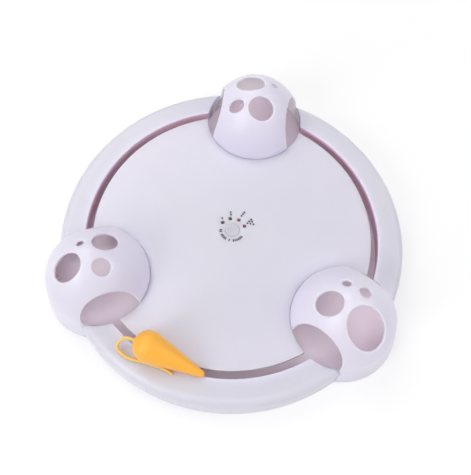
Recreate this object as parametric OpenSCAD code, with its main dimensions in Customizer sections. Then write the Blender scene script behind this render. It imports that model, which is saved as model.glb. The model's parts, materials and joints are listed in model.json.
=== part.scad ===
// Cat toy: a mouse on a hidden turning arm runs round a slot in the deck and through three domes.
// The origin is on the floor under the deck's centre, +Y points to the back dome and +Z is up.

/* [Housing] */
// Height of the deck's top face above the floor
deck_h = 30; // [30:0.5:33]
// Height of the rubber feet
foot_h = 1.5; // [1.3:0.1:1.6]
// Width of the rim from the slot out to its bottom edge
rim_band = 27; // [26:0.5:30]
// Radius of the rim's rounded shoulder
rim_shoulder = 9; // [6:0.5:10]
// How far the rim's wall leans out towards its bottom edge
rim_lean = 0.8; // [0.4:0.1:1.2]
// Wall thickness of the white shells
wall = 2.4; // [2.2:0.1:2.6]
// Thickness of the tray's floor
floor_t = 2; // [1.8:0.1:2.2]
// Gap between neighbouring shells
seam = 0.3; // [0.2:0.05:0.4]

/* [Slot] */
// Outer radius of the slot
slot_r = 148; // [147.5:0.1:148.5]
// Width of the slot
slot_w = 7.4; // [7.2:0.1:8]
// Depth of the lips on both sides of the slot
lip_h = 5.5; // [5:0.1:5.6]

/* [Domes] */
// Distance of each dome's axis inside the slot's outer edge
dome_inset = 8.7; // [8:0.1:10]
// Radius of a dome at the deck
dome_r = 50.8; // [49.5:0.1:52]
// Height of a dome above the deck
dome_h = 56; // [53:0.5:60]
// Fullness of a dome's curve, where 2 is an ellipse
dome_curve = 1.61; // [1.55:0.01:2]
// How far a dome's skirt spreads from the deck down to the floor
dome_flare = 4.8; // [3:0.1:6]
// Half the width of an arch
arch_half = 29; // [28:0.1:30]
// Height of an arch above the deck
arch_h = 34.7; // [34:0.1:37]
// Shift of the arches towards the deck's centre
arch_shift = 1.4; // [1:0.1:3]

/* [Paw holes] */
// Largest hole of the back dome, width
back_hole_d = 27.4; // [24:0.1:29]
// Largest hole of the left dome, width
left_hole_d = 25.8; // [23:0.1:28]
// Largest hole of the right dome, width
right_hole_d = 35.8; // [32:0.1:38]

/* [Mouse] */
// Radius of the mouse's round rump
rump_r = 14.9; // [14:0.1:16]
// Radius of the mouse's nose
nose_r = 3.1; // [3:0.1:5]
// Distance from the rump's centre to the nose's centre
mouse_l = 53.9; // [48:0.1:55]
// Gap between the mouse and the deck
mouse_gap = 0.8; // [0.5:0.1:1.2]
// Direction in which the mouse stands round the deck's centre
post_angle = -111.6; // [-120:0.1:-106]
// Distance of the mouse's post inside the middle of the slot
post_inset = 0.7; // [0:0.1:1]
// Diameter of the string tail
tail_d = 3; // [2.5:0.1:3]

/* [Controls] */
// Diameter of the push button
button_d = 14.6; // [13:0.1:15]
// Travel of the push button
button_travel = 0.6; // [0.4:0.1:0.6]
// Diameter of an indicator lamp
lamp_d = 3.5; // [3:0.1:3.6]
// Distance of the lamps from the button's centre
lamp_x = 13; // [12.8:0.1:15]

/* [Drive] */
// Teeth of the main gear
main_teeth = 60; // [60:1:60]
// Teeth of the compound gear's small wheel
small_teeth = 10; // [10:1:10]
// Teeth of the compound gear's large wheel
large_teeth = 38; // [36:1:40]
// Teeth of the motor pinion
pinion_teeth = 10; // [10:1:11]
// Module of the main gear pair
main_module = 1.2; // [1.2:0.01:1.22]
// Module of the motor gear pair
motor_module = 1; // [0.98:0.01:1.02]
// Radius of the motor's can
motor_r = 12.2; // [11:0.1:12.4]
// Height from the top of the motor's can up to the arm
gear_stack = 4.2; // [4.2:0.1:5]
// Gap between the roller and the arm above it
roller_gap = 0.4; // [0.3:0.1:1]
// Distance of the roller inside the slot's outer edge
roller_inset = 23; // [21:0.5:26]
// Radius of the column that carries the deck
column_r = 10; // [9.6:0.1:10.2]

/* [Power] */
// Gap between the battery pocket's roof and the arm
pocket_gap = 0.6; // [0.6:0.1:1.5]
// Length of a battery cell with its nub
cell_l = 50.5; // [49.5:0.1:50.5]

/* [Hidden] */
$fn = 64;
white = [0.88, 0.86, 0.91];
mauve = [0.66, 0.54, 0.61];
steel = [0.72, 0.72, 0.74];
brass = [0.78, 0.66, 0.36];
nylon = [0.90, 0.88, 0.82];
rubber = [0.16, 0.16, 0.17];
eps = 0.01;

// Heights of the housing
tray_top = foot_h + floor_t;
deck_under = deck_h - wall;
lip_z = deck_h - lip_h;
deck_r = slot_r - slot_w;
rim_r = slot_r + rim_band;
track_wall_r = slot_r + wall;
rim_top_r = rim_r - rim_lean - rim_shoulder;
tray_r = rim_r - wall - seam;
skirt_keep_r = rim_r - 15;

// Dome shape
dome_x = slot_r - dome_inset;
dome_angles = [90, 210, 330];
rim_angles = [30, 150, 270];
dome_steps = 15;
hole_reach = 20;
// Each paw hole is [direction from the outward line, distance from the dome's axis, width, length, twist]
back_holes = [[38, 14.1, back_hole_d, 34, 20], [-155, 20.6, 24.4, 27.4, 51], [134, 25.5, 13.3, 19.1, -27],
    [-52, 22.4, 7, 8.4, 0]];
left_holes = [[5, 23.4, left_hole_d, 36.6, -8], [-149, 22.3, 22.5, 29.2, 0], [121, 17.5, 17, 18.5, 28],
    [-75, 15.1, 7.7, 9, 14]];
right_holes = [[-20, 28.1, right_hole_d, 49.7, 9], [-139, 21.5, 24.2, 29.7, -12], [74, 14.8, 11.8, 14.1, -4],
    [143, 18.3, 8.6, 10.4, 7]];

// Screws
screw_r = 1.2;
screw_head_r = 2.5;
screw_head_h = 2.1;
screw_l = 13;
pilot_r = 1.25;
pad_r = 4.5;
pad_h = 3;
boss_r = 3.4;
boss_z = tray_top + pad_h;
rim_boss_x = slot_r + 10;
rim_boss_turns = [-25, 25];
dome_boss_x = dome_r - 3;
dome_boss_turns = [-30, 30];
dome_boss_top = deck_h - 4;

// Column and rotor levels
flange_r = 34;
flange_t = 1.6;
flange_z = deck_under - 4.8;
flange_top = flange_z + flange_t;
column_z = tray_top + 1.5;
column_bore_r = 4;
column_screw_x = 7;
column_screw_turns = [0, 120, 240];
socket_r = 13;
socket_top = column_z + 1.3;
washer_t = 0.7;
washer_r = 14.5;
bush_z = socket_top + washer_t;
bush_r = 12;
bush_flange_t = 0.5;
running_gap = 0.06;
arm_top = flange_z - 0.6;
arm_t = 2.2;
arm_z = arm_top - arm_t;
hub_r = 15;
main_z = bush_z + bush_flange_t;
main_t = 4;
main_hole_r = 6;
deck_boss_x = 28;
deck_boss_turns = rim_angles;
deck_boss_r = 4;
deck_boss_h = 3.2;

// Gears
pressure = 25;
addendum = 0.8;
dedendum = 1.1;
backlash = 0.22;
flank_steps = 3;
main_pitch_r = main_teeth * main_module / 2;
small_pitch_r = small_teeth * main_module / 2;
large_pitch_r = large_teeth * motor_module / 2;
pinion_pitch_r = pinion_teeth * motor_module / 2;
compound_dir = 90;
compound_x = main_pitch_r + small_pitch_r;
motor_dir = 60;
motor_x = large_pitch_r + pinion_pitch_r;
compound_at = [compound_x * cos(compound_dir), compound_x * sin(compound_dir), 0];
motor_at = compound_at + motor_x * [cos(motor_dir), sin(motor_dir), 0];
axle_r = 2;
axle_boss_r = 4.5;
axle_boss_top = main_z - 0.5;
motor_top = arm_z - gear_stack;
motor_h = motor_top - tray_top;
large_z = motor_top + 0.4;
large_t = 2;
axle_top = large_z + large_t + 1;
clip_r = 4;
clip_t = 0.6;
motor_shaft_r = 1;
motor_shaft_depth = 3;
cup_gap = 0.2;
cup_t = 1.8;
cup_h = 7.5;
lead_dir = atan2(motor_at.y, motor_at.x);

// Arm, roller and post
post_x = slot_r - slot_w / 2 - post_inset;
arm_root_w = 18;
arm_tip_w = 9;
arm_tip_h = 3.5;
post_r = 2;
post_top = deck_h + mouse_gap + rump_r - 1;
roller_w = 5;
roller_x = slot_r - roller_inset;
roller_lift = 0.3;
roller_r = (arm_z - tray_top - roller_lift - roller_gap) / 2;
roller_z = tray_top + roller_lift + roller_r;
roller_pin_r = 1.2;
cheek_t = 2;
cheek_w = 8;
cheek_gap = 0.4;
cheek_x = (roller_w + cheek_t) / 2 + cheek_gap;

// Mouse and tail
rump_z = deck_h + mouse_gap + rump_r;
mouse_slope = asin((rump_r - nose_r) / mouse_l);
mouse_yaw = -14.8;
rump_at = [post_x * cos(post_angle), post_x * sin(post_angle), rump_z];
tail_root_l = 1.5;
tail_root_r = 2;
tail_drop = 2.5;
tail_sides = 8;
tail_spans = 3;
tail_root_at = rump_at - (rump_r + tail_root_l) * [cos(mouse_yaw), sin(mouse_yaw), 0];
// The tail's route from the end of its root, with heights above the deck
tail_route = [[0, 0, 13.2], [-5.6, 1, 12.6], [-10.3, -0.6, 10.6], [-13.5, -3.3, 8.2], [-14.7, -6.5, 6],
    [-13.4, -9.4, 4.2], [-9.8, -11.9, 2.9], [-5, -14.1, 2.2], [-0.1, -15.2, 1.9], [5.7, -15.8, 1.9],
    [11.6, -16.2, 1.9], [20.1, -17, 1.9], [28.1, -18, 1.9], [35.6, -20.1, 1.9], [40.9, -22.5, 1.9]];

// Controls
board_t = 1.2;
board_r = 22;
board_top = flange_top + board_t;
button_y = 2.7;
button_gap = 0.2;
button_rise = 0.3;
button_flange_r = 8.6;
button_flange_t = 0.7;
button_flange_z = deck_under - 0.2 - button_flange_t;
button_cavity_r = 5.6;
button_top_t = 1.9;
switch_w = 6.2;
switch_h = 1.8;
plunger_r = 1.7;
plunger_bottom = board_top + 0.6;
plunger_top = deck_h + button_rise - button_top_t;
lamp_angles = [150, 110, 70, 30];
lamp_gap = 0.15;
lamp_rise = 0.4;
lamp_flange_t = 0.8;
chip_size = [7, 5, 1.2];
chip_y = -14;

// Battery pocket
pocket_y = -76;
pocket_wall = 2;
pocket_ledge = 1;
pocket_roof_t = 1;
pocket_top = arm_z - pocket_gap - pocket_roof_t;
cell_gap = 0.2;
cell_d = pocket_top - tray_top - 2 * cell_gap;
cell_pitch = cell_d + 3 * cell_gap;
cell_z = tray_top + cell_gap + cell_d / 2;
pocket_in = [cell_l + 4.6, 3 * cell_d + 2.6];
nub_r = 2.6;
nub_l = 1.3;
contact_t = 0.5;
contact_w = 9;
contact_h = 10;
tongue_z = 2;
tongue_t = 0.6;
door_gap = 0.3;
door_tab_r = 5;
door_boss_r = 6.5;
door_boss_h = 8;
door_tab_y = pocket_y - pocket_in.y / 2 - pocket_ledge - 3;
door_head_h = 1.2;
lead_r = 0.55;
lead_slot_w = 4.8;
lead_sides = 8;
lead_spread = 0.9;
lead_z = column_z + lead_r + 0.05;
lead_floor_z = tray_top + lead_r + 0.05;

// Feet
foot_r = 7;
centre_pad_r = 11;
rim_foot_x = slot_r + 2;
lobe_foot_x = dome_x + 31;
feet_at = concat([for (a = rim_angles) polar(rim_foot_x, a)], [for (a = dome_angles) polar(lobe_foot_x, a)]);

// Shared shapes

function polar(r, a) = [r * cos(a), r * sin(a)];

// Radius of a dome's skirt at a height below the deck
function skirt_r(z) = dome_r + dome_flare * (deck_h - z) / (deck_h - foot_h);

// Height of a dome's outer face above the deck at a distance from its axis
function dome_z(x) = dome_h * pow(1 - pow(x / dome_r, dome_curve), 1 / dome_curve);

// Lean of a dome's outer face from level at a distance from its axis
function dome_lean(x) = atan2(pow(x, dome_curve - 1) / pow(dome_r, dome_curve),
    pow(dome_z(x), dome_curve - 1) / pow(dome_h, dome_curve));

// Points of a dome's curve from the deck up to the top
function dome_points(r, h) = [for (i = [0:dome_steps]) let (t = 90 * i / dome_steps)
    [r * pow(cos(t), 2 / dome_curve), deck_h + h * pow(sin(t), 2 / dome_curve)]];

// Points of an arc from one angle to another about a centre
function arc_points(centre, r, from, to, steps) =
    [for (i = [0:steps]) centre + polar(r, from + (to - from) * i / steps)];

function reversed(list) = [for (i = [len(list) - 1:-1:0]) list[i]];

module at_dome(i) {
    rotate([0, 0, dome_angles[i]]) translate([dome_x, 0, 0]) children();
}

module at_polar(r, a) {
    translate(concat(polar(r, a), 0)) children();
}

// Space that a dome takes below the deck, wider by a margin
module dome_space(margin) {
    translate([0, 0, foot_h - 1]) cylinder(h = deck_h - foot_h + 2,
        r1 = skirt_r(foot_h - 1) + margin, r2 = skirt_r(deck_h + 1) + margin);
}

module tube(outer_r, inner_r, h) {
    difference() {
        cylinder(r = outer_r, h = h);
        translate([0, 0, -1]) cylinder(r = inner_r, h = h + 2);
    }
}

module screw(head_r, head_h, shank_l) {
    difference() {
        union() {
            cylinder(r = head_r, h = head_h);
            translate([0, 0, head_h - eps]) cylinder(r = screw_r, h = shank_l);
        }
        for (a = [0, 90]) rotate([0, 0, a]) cube([head_r * 1.2, 0.6, head_h], center = true);
    }
}

// Gear outline with involute flanks and a tooth centred on the X axis
function involute(base_r, r) = let (p = acos(min(1, base_r / r))) tan(p) * 180 / PI - p;

function gear_points(teeth, mod) =
    let (pitch_r = teeth * mod / 2, base_r = pitch_r * cos(pressure), tip_r = pitch_r + addendum * mod,
        root_r = pitch_r - dedendum * mod, start_r = max(root_r, base_r),
        half_base = (90 - 45 * backlash / (mod * PI / 2)) / teeth + involute(base_r, pitch_r),
        radii = [for (i = [0:flank_steps]) start_r + (tip_r - start_r) * i / flank_steps],
        foot = root_r < base_r ? [root_r] : [])
    [for (i = [0:teeth - 1]) let (a = 360 * i / teeth) each concat(
        [for (r = foot) polar(r, a - half_base)],
        [for (r = radii) polar(r, a - half_base + involute(base_r, r))],
        [for (r = reversed(radii)) polar(r, a + half_base - involute(base_r, r))],
        [for (r = foot) polar(r, a + half_base)])];

module gear(teeth, mod, h) {
    linear_extrude(height = h) polygon(gear_points(teeth, mod));
}

// Tray and power

module tray_outline() {
    circle(r = tray_r, $fn = 128);
    for (i = [0:2]) at_dome(i) circle(r = skirt_r(tray_top) - wall - seam, $fn = 128);
}

module at_base_screws() {
    for (a = rim_angles, turn = rim_boss_turns) at_polar(rim_boss_x, a + turn) children();
    for (i = [0:2], turn = dome_boss_turns) at_dome(i) at_polar(dome_boss_x, turn) children();
}

module at_column_screws() {
    for (a = column_screw_turns) at_polar(column_screw_x, a) children();
}

module pocket_box(grow, z0, z1) {
    translate([-pocket_in.x / 2 - grow, pocket_y - pocket_in.y / 2 - grow, z0])
        cube([pocket_in.x + 2 * grow, pocket_in.y + 2 * grow, z1 - z0]);
}

module base_tray() color(mauve) difference() {
    union() {
        translate([0, 0, foot_h]) linear_extrude(height = floor_t) tray_outline();
        translate([0, 0, foot_h]) at_base_screws() cylinder(r = pad_r, h = boss_z - foot_h);
        translate([0, 0, foot_h]) cylinder(r = socket_r, h = socket_top - foot_h);
        pocket_box(pocket_wall, foot_h, pocket_top + pocket_roof_t);
        translate([0, door_tab_y, foot_h]) cylinder(r = door_boss_r, h = floor_t + door_boss_h);
        translate(compound_at + [0, 0, foot_h]) cylinder(r = axle_boss_r, h = axle_boss_top - foot_h);
        translate(motor_at + [0, 0, foot_h]) cylinder(r = motor_r + cup_gap + cup_t, h = floor_t + cup_h);
    }
    at_base_screws() {
        cylinder(r = screw_head_r + 0.3, h = foot_h + screw_head_h + 0.4);
        cylinder(r = screw_r + 0.2, h = boss_z + 1);
    }
    at_column_screws() {
        cylinder(r = screw_head_r + 0.2, h = foot_h + screw_head_h);
        cylinder(r = screw_r + 0.2, h = column_z + 1);
    }
    translate([0, 0, column_z]) cylinder(r = column_r + 0.1, h = socket_top);
    for (a = [270, lead_dir]) rotate([0, 0, a]) translate([column_r, -lead_slot_w / 2, column_z])
        cube([socket_r, lead_slot_w, pad_h]);
    pocket_box(0, 0, pocket_top);
    pocket_box(pocket_ledge, 0, tray_top);
    translate([0, door_tab_y, 0]) {
        cylinder(r = door_tab_r + door_gap, h = tray_top);
        cylinder(r = pilot_r, h = tray_top + door_boss_h - 1);
    }
    translate([-2.5, pocket_y + pocket_in.y / 2 - 1, tray_top]) cube([5, pocket_wall + 2, 2 * lead_r + 0.4]);
    translate(compound_at + [0, 0, tray_top]) cylinder(r = axle_r + 0.02, h = axle_boss_top);
    translate(motor_at + [0, 0, tray_top]) {
        cylinder(r = motor_r + cup_gap, h = cup_h + 1);
        rotate([0, 0, lead_dir + 180]) translate([0, -lead_slot_w / 2, 0])
            cube([2 * motor_r, lead_slot_w, cup_h + 1]);
    }
}

module battery_door() color(mauve) difference() {
    union() {
        pocket_box(pocket_ledge - door_gap, foot_h, tray_top);
        translate([0, door_tab_y, foot_h]) cylinder(r = door_tab_r, h = floor_t);
    }
    translate([0, door_tab_y, 0]) {
        cylinder(r = screw_head_r + 0.2, h = foot_h + door_head_h + 0.1);
        cylinder(r = screw_r + 0.05, h = tray_top + 1);
    }
    for (i = [-3:3]) translate([-9, pocket_y + 2.4 * i, foot_h - 0.6]) cube([18, 1, 1.2]);
}

module door_screw() color(steel) translate([0, door_tab_y, foot_h + 0.1])
    screw(screw_head_r, door_head_h, door_boss_h - 0.5);

module at_cell(i) {
    translate([0, pocket_y + (i - 1) * cell_pitch, cell_z]) children();
}

// Cells lie along X in turn, each with its nub at the other end from its neighbour
module cell(i) {
    side = i % 2 == 0 ? 1 : -1;
    shell_l = cell_l - nub_l;
    color([0.25, 0.45, 0.35]) at_cell(i) translate([-side * (pocket_in.x / 2 - contact_t), 0, 0])
        rotate([0, 90 * side, 0]) translate([0, 0, pocket_in.x - 2 * contact_t - cell_l]) {
            cylinder(d = cell_d, h = shell_l);
            translate([0, 0, shell_l - eps]) cylinder(r = nub_r, h = nub_l + eps);
        }
}

module cell_1() cell(0);
module cell_2() cell(1);
module cell_3() cell(2);

// Bent strip whose tongue presses on the flat end of each cell
module spring_contacts() color(brass) for (i = [0:2]) {
    tip_x = pocket_in.x - contact_t - cell_l;
    top = contact_h / 2;
    at_cell(i) mirror([i % 2, 0, 0]) translate([-pocket_in.x / 2, contact_w / 2, 0])
        rotate([90, 0, 0]) linear_extrude(height = contact_w)
            polygon([[0, -top], [contact_t, -top], [contact_t, tongue_z], [tip_x, -contact_t - tongue_t],
                [tip_x, -contact_t], [contact_t, top], [0, top]]);
}

module flat_contacts() color(brass) for (i = [0:2]) {
    side = i % 2 == 0 ? 1 : -1;
    at_cell(i) translate([side * (pocket_in.x - contact_t) / 2, 0, 0])
        cube([contact_t, contact_w, contact_h], center = true);
}

module rubber_feet() color(rubber) {
    cylinder(r = centre_pad_r, h = foot_h);
    for (p = feet_at) translate(p) cylinder(r = foot_r, h = foot_h);
}

module base_screws() color(steel) {
    translate([0, 0, foot_h + 0.3]) at_base_screws() screw(screw_head_r, screw_head_h, screw_l);
    translate([0, 0, foot_h]) at_column_screws() screw(screw_head_r, screw_head_h, screw_l);
}

// White shells

function shoulder_points(inset) =
    arc_points([rim_top_r, deck_h - rim_shoulder], rim_shoulder - inset, 90, 0, 8);

module rim_shell() {
    polygon(concat([[track_wall_r, tray_top], [track_wall_r, lip_z], [slot_r, lip_z], [slot_r, deck_h]],
        shoulder_points(0), [[rim_r, foot_h], [rim_r - wall, foot_h]], reversed(shoulder_points(wall)),
        [[track_wall_r + wall, deck_under], [track_wall_r + wall, tray_top]]));
}

module rim_block() {
    polygon(concat([[track_wall_r, tray_top], [track_wall_r, lip_z], [slot_r, lip_z], [slot_r, deck_h]],
        shoulder_points(0), [[rim_r - wall / 2, tray_top]]));
}

// One length of rim between two domes, closed at both ends
module rim(middle) color(white) difference() {
    union() {
        rotate([0, 0, middle - 50]) rotate_extrude(angle = 100, $fn = 180) rim_shell();
        for (i = [0:2]) intersection() {
            rotate([0, 0, middle - 50]) rotate_extrude(angle = 100, $fn = 180) rim_block();
            at_dome(i) dome_space(seam + wall);
        }
        for (turn = rim_boss_turns) at_polar(rim_boss_x, middle + turn)
            translate([0, 0, boss_z]) cylinder(r = boss_r, h = deck_under - boss_z + wall / 2);
    }
    for (i = [0:2]) at_dome(i) dome_space(seam);
    for (turn = rim_boss_turns) at_polar(rim_boss_x, middle + turn) cylinder(r = pilot_r, h = deck_under);
}

module rim_front() rim(270);
module rim_left() rim(150);
module rim_right() rim(30);

// Half an ellipse that stands on the deck, with its feet going on down below it
module arch_shape() translate([-arch_shift, 0]) {
    polygon([for (t = [0:7.5:180]) [arch_half * cos(t), deck_h + arch_h * sin(t)]]);
    translate([-arch_half, deck_under - 1]) square([2 * arch_half, wall + 1]);
}

module oval(length, width)
    polygon([for (t = [0:7.5:352.5]) [length / 2 * cos(t), width / 2 * sin(t)]]);

module dome(holes) color(white) difference() {
    union() {
        difference() {
            rotate_extrude($fn = 128) polygon(concat([[skirt_r(foot_h), foot_h]], dome_points(dome_r, dome_h),
                reversed(dome_points(dome_r - wall, dome_h - wall)), [[skirt_r(foot_h) - wall, foot_h]]));
            rotate([90, 0, 0]) linear_extrude(height = 3 * dome_r, center = true) arch_shape();
            for (h = holes) rotate([0, 0, h[0]]) translate([h[1], 0, deck_h + dome_z(h[1])])
                rotate([0, dome_lean(h[1]), 0]) rotate([0, 0, h[4]])
                    linear_extrude(height = 2 * hole_reach, center = true) oval(h[3], h[2]);
            translate([-dome_x, 0, 0]) {
                cylinder(r = skirt_keep_r, h = deck_under, $fn = 180);
                cylinder(r = tray_r + seam, h = tray_top, $fn = 180);
            }
        }
        for (turn = dome_boss_turns) at_polar(dome_boss_x, turn)
            translate([0, 0, boss_z]) cylinder(r = boss_r, h = dome_boss_top - boss_z);
    }
    for (turn = dome_boss_turns) at_polar(dome_boss_x, turn) cylinder(r = pilot_r, h = dome_boss_top - 2);
}

module dome_back() at_dome(0) dome(back_holes);
module dome_left() at_dome(1) dome(left_holes);
module dome_right() at_dome(2) dome(right_holes);

module at_deck_bosses() {
    for (a = deck_boss_turns) at_polar(deck_boss_x, a) children();
}

// Ledge under the deck on which a dome's inner wall stands
module dome_seat() {
    intersection() {
        translate([0, 0, lip_z]) tube(dome_r + 1.2, dome_r - wall - 0.8, lip_h - wall);
        translate([-2 * dome_r, -dome_r, 0])
            cube([2 * dome_r - arch_half - arch_shift - 4, 2 * dome_r, deck_h]);
    }
}

module centre_deck() color(white) {
    difference() {
        union() {
            translate([0, 0, deck_under]) cylinder(r = deck_r, h = wall, $fn = 180);
            translate([0, 0, lip_z]) difference() {
                cylinder(r = deck_r, h = lip_h, $fn = 180);
                difference() {
                    translate([0, 0, -1]) cylinder(r = deck_r - wall, h = lip_h, $fn = 180);
                    for (i = [0:2]) at_dome(i) translate([0, 0, -2])
                        cylinder(r = dome_r + 1 + wall, h = lip_h + 3);
                }
            }
            translate([0, 0, flange_z + deck_boss_h]) at_deck_bosses()
                cylinder(r = deck_boss_r, h = deck_under - flange_z - deck_boss_h + wall / 2);
        }
        for (i = [0:2]) at_dome(i) dome_space(seam);
        translate([0, button_y, 0]) cylinder(d = button_d + 2 * button_gap, h = 2 * deck_h);
        translate([0, button_y, 0]) for (a = lamp_angles) at_polar(lamp_x, a)
            cylinder(d = lamp_d + 2 * lamp_gap, h = 2 * deck_h);
        at_deck_bosses() cylinder(r = screw_r, h = deck_h - 1);
    }
    for (i = [0:2]) at_dome(i) dome_seat();
}

module deck_column() color(nylon) difference() {
    union() {
        translate([0, 0, column_z]) cylinder(r = column_r, h = flange_z - column_z + eps);
        translate([0, 0, flange_z]) cylinder(r = flange_r, h = flange_t);
        translate([0, 0, flange_z]) at_deck_bosses() cylinder(r = deck_boss_r, h = deck_boss_h);
    }
    cylinder(r = column_bore_r, h = deck_h);
    at_column_screws() cylinder(r = pilot_r, h = column_z + screw_l);
    for (a = [270, lead_dir]) rotate([0, 0, a]) translate([0, -lead_slot_w / 2, column_z - 1])
        cube([2 * column_r, lead_slot_w, socket_top - column_z + 1]);
    at_deck_bosses() {
        translate([0, 0, flange_z - 1]) cylinder(r = screw_head_r + 0.2, h = 1 + deck_boss_h / 2);
        cylinder(r = screw_r + 0.1, h = deck_h);
    }
}

module deck_screws() color(steel) translate([0, 0, flange_z + 0.1]) at_deck_bosses()
    screw(screw_head_r, deck_boss_h / 2 - 0.1, 4.6);

// Controls

module circuit_board() color([0.16, 0.42, 0.28]) translate([0, 0, flange_top])
    cylinder(r = board_r, h = board_t);

module control_chip() color(rubber)
    translate([-chip_size.x / 2, chip_y - chip_size.y / 2, board_top]) cube(chip_size);

module tact_switch() color(rubber) difference() {
    translate([-switch_w / 2, button_y - switch_w / 2, board_top]) cube([switch_w, switch_w, switch_h]);
    translate([0, button_y, board_top]) cylinder(r = plunger_r + 0.05, h = 2 * switch_h);
}

module switch_plunger() color(nylon) translate([0, button_y, plunger_bottom + button_travel / 4])
    cylinder(r = plunger_r, h = plunger_top - plunger_bottom - button_travel / 4);

module power_button() color(white) translate([0, button_y, 0]) rotate_extrude()
    polygon([[0, plunger_top], [button_cavity_r, plunger_top], [button_cavity_r, button_flange_z],
        [button_flange_r, button_flange_z], [button_flange_r, button_flange_z + button_flange_t],
        [button_d / 2, button_flange_z + button_flange_t], [button_d / 2, deck_h + button_rise - 0.4],
        [button_d / 2 - 0.4, deck_h + button_rise], [0, deck_h + button_rise]]);

module lamp(i, tint) color(tint) translate([0, button_y, 0]) at_polar(lamp_x, lamp_angles[i]) {
    translate([0, 0, board_top]) cylinder(d = lamp_d + 0.8, h = lamp_flange_t);
    translate([0, 0, board_top]) cylinder(d = lamp_d, h = deck_h + lamp_rise - lamp_d / 2 - board_top);
    translate([0, 0, deck_h + lamp_rise - lamp_d / 2]) sphere(d = lamp_d);
}

module lamp_1() lamp(0, [0.20, 0.12, 0.18]);
module lamp_2() lamp(1, [0.20, 0.12, 0.18]);
module lamp_3() lamp(2, [0.55, 0.05, 0.10]);
module lamp_4() lamp(3, [0.55, 0.05, 0.10]);

// Drive

module motor_can() color(steel) translate(motor_at) difference() {
    translate([0, 0, tray_top]) cylinder(r = motor_r, h = motor_h);
    translate([0, 0, motor_top - motor_shaft_depth]) cylinder(r = motor_shaft_r + 0.05, h = motor_h);
}

module motor_pinion() color(brass) translate(motor_at) {
    translate([0, 0, motor_top - motor_shaft_depth + 0.2])
        cylinder(r = motor_shaft_r, h = motor_shaft_depth + 1);
    translate([0, 0, large_z]) rotate([0, 0, motor_dir + 180 + 180 / pinion_teeth])
        gear(pinion_teeth, motor_module, large_t);
}

module compound_gear() color(nylon) translate(compound_at) difference() {
    union() {
        translate([0, 0, main_z]) rotate([0, 0, compound_dir + 180 + 180 / small_teeth])
            gear(small_teeth, main_module, main_t);
        translate([0, 0, main_z + main_t - eps])
            cylinder(r = small_pitch_r - dedendum * main_module, h = large_z - main_z - main_t + 2 * eps);
        translate([0, 0, large_z]) rotate([0, 0, motor_dir]) gear(large_teeth, motor_module, large_t);
    }
    cylinder(r = axle_r + running_gap, h = 2 * deck_h);
}

module gear_axle() color(steel) translate(compound_at + [0, 0, tray_top])
    cylinder(r = axle_r, h = axle_top - tray_top);

module axle_clip() color(steel) translate(compound_at + [0, 0, large_z + large_t + 0.15])
    tube(clip_r, axle_r, clip_t);

module main_gear() color(nylon) translate([0, 0, main_z]) difference() {
    rotate([0, 0, compound_dir]) gear(main_teeth, main_module, main_t);
    translate([0, 0, -1]) cylinder(r = bush_r, h = main_t + 2);
    for (a = [0:60:300]) at_polar((bush_r + main_pitch_r) / 2, a) translate([0, 0, -1])
        cylinder(r = main_hole_r, h = main_t + 2);
}

module rotor_bush() color(brass) translate([0, 0, bush_z + 0.05]) difference() {
    union() {
        cylinder(r = bush_r, h = arm_top - bush_z - 0.05);
        cylinder(r = washer_r, h = bush_flange_t - 0.05);
    }
    translate([0, 0, -1]) cylinder(r = column_r + running_gap, h = deck_h);
}

module thrust_washer() color(steel) translate([0, 0, socket_top]) tube(washer_r, column_r + 0.1, washer_t);

module at_arm() {
    rotate([0, 0, post_angle]) children();
}

module mouse_arm() color(mauve) at_arm() difference() {
    union() {
        translate([0, 0, main_z + main_t]) cylinder(r = hub_r, h = arm_top - main_z - main_t);
        translate([0, 0, arm_z]) linear_extrude(height = arm_t) polygon([[0, -arm_root_w / 2],
            [post_x, -arm_tip_w / 2], [post_x, arm_tip_w / 2], [0, arm_root_w / 2]]);
        translate([post_x, 0, arm_z]) cylinder(r = arm_tip_w / 2, h = arm_tip_h);
        for (side = [-1, 1]) translate([roller_x + side * cheek_x, 0, roller_z]) {
            rotate([0, 90, 0]) cylinder(d = cheek_w, h = cheek_t, center = true);
            translate([-cheek_t / 2, -cheek_w / 2, 0]) cube([cheek_t, cheek_w, arm_z - roller_z + eps]);
        }
    }
    translate([0, 0, main_z]) cylinder(r = bush_r, h = deck_h);
    translate([post_x, 0, arm_z - 1]) cylinder(r = post_r + 0.02, h = 2 * arm_tip_h);
    translate([roller_x - 2 * roller_w, 0, roller_z]) rotate([0, 90, 0])
        cylinder(r = roller_pin_r + 0.02, h = 4 * roller_w);
}

module arm_roller() color(rubber) at_arm() translate([roller_x - roller_w / 2, 0, roller_z])
    rotate([0, 90, 0]) tube(roller_r, roller_pin_r + running_gap, roller_w);

module roller_pin() color(steel) at_arm() translate([roller_x, 0, roller_z]) rotate([0, 90, 0])
    cylinder(r = roller_pin_r, h = roller_w + 2 * (cheek_gap + cheek_t), center = true);

module mouse_post() color(steel) at_arm() translate([post_x, 0, arm_z])
    cylinder(r = post_r, h = post_top - arm_z);

// Mouse

// The body is a round rump and a round nose joined by a cone that touches both
function mouse_points() = concat(arc_points([0, 0], rump_r, 180, 90 - mouse_slope, 14),
    arc_points([mouse_l, 0], nose_r, 90 - mouse_slope, 0, 6));

module mouse_body() color([0.99, 0.73, 0.30]) difference() {
    union() {
        translate(rump_at) rotate([0, mouse_slope, mouse_yaw]) rotate([0, 90, 0]) rotate_extrude()
            polygon([for (p = mouse_points()) [p.y, p.x]]);
        translate(rump_at - [0, 0, tail_drop]) rotate([0, -90, mouse_yaw])
            cylinder(r = tail_root_r, h = rump_r + tail_root_l);
    }
    translate([rump_at.x, rump_at.y, 0]) cylinder(r = post_r + 0.02, h = post_top);
}

// A smooth curve through the tail's route
function spline(p, q, r, s, t) = 0.5 * (2 * q + (r - p) * t + (2 * p - 5 * q + 4 * r - s) * t * t
    + (3 * q - p - 3 * r + s) * t * t * t);

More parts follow.
